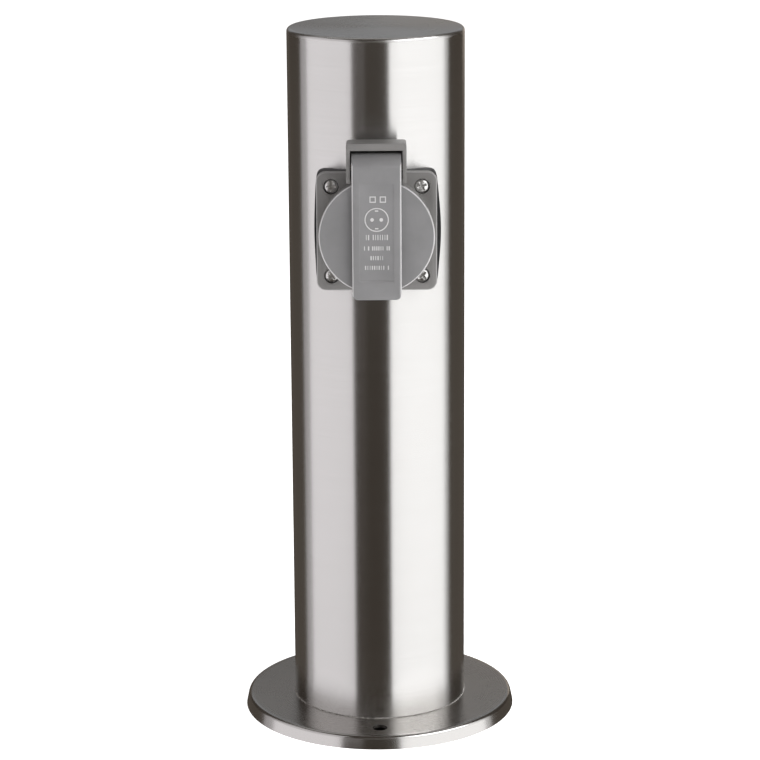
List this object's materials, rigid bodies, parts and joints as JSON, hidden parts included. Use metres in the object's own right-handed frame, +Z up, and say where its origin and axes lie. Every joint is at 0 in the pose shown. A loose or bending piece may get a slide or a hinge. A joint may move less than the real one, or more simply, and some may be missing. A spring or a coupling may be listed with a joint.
{
  "type": "power post",
  "caption": "Short round stainless steel post on a dish base, with one outlet under a sprung hinged lid for plugging in a charging lead.",
  "frame": {"origin": "on the ground on the axis of the tube", "axes": "+Z up along the tube, the outlet faces -Y, +X to the right seen from the outlet's side"},
  "size_m": [0.12, 0.12, 0.305],
  "materials": {
    "stainless": "ground and polished stainless steel",
    "grey_plastic": "mid grey moulded plastic",
    "black_rubber": "black rubber",
    "screw_steel": "zinc plated steel",
    "spring_steel": "nickel plated spring steel",
    "zinc_steel": "galvanised sheet",
    "white_plastic": "off-white insulating plastic",
    "brass": "plain brass",
    "tinned_copper": "tinned copper",
    "aluminium_rivet": "plain aluminium",
    "brown_sheath": "brown wire sheath",
    "blue_sheath": "blue wire sheath",
    "green_sheath": "green wire sheath"
  },
  "bodies": {
    "post": {"post_tube": "stainless", "top_cap": "stainless", "base_plate": "stainless", "cable_grommet": "black_rubber", "socket_gasket": "black_rubber", "socket_housing": "grey_plastic", "flange_screws": "screw_steel", "contact_carrier": "white_plastic", "carrier_screws": "screw_steel", "live_contact": "brass", "neutral_contact": "brass", "earth_contact": "spring_steel", "socket_terminal_screws": "screw_steel", "hinge_pin": "screw_steel", "hinge_spring": "spring_steel", "live_lead": "brown_sheath", "neutral_lead": "blue_sheath", "earth_lead": "green_sheath", "bonding_lead": "green_sheath", "terminal_bracket": "zinc_steel", "bracket_rivets": "aluminium_rivet", "terminal_block": "white_plastic", "terminal_sleeves": "brass", "block_clamp_screws": "screw_steel", "block_fixing_screws": "screw_steel", "earth_stud": "screw_steel", "ring_lug": "tinned_copper", "earth_washer": "screw_steel", "earth_nut": "screw_steel"},
    "flap": {"lid": "grey_plastic", "lid_seal": "black_rubber"}
  },
  "joints": [
    {"name": "lid_hinge", "type": "hinge", "parent": "post", "child": "flap", "pos_m": [0, -0.052, 0.2538], "axis": [-1, 0, 0], "range_deg": [0, 100], "stiffness_Nm_per_rad": 0.01, "springref_deg": -57.3}
  ]
}
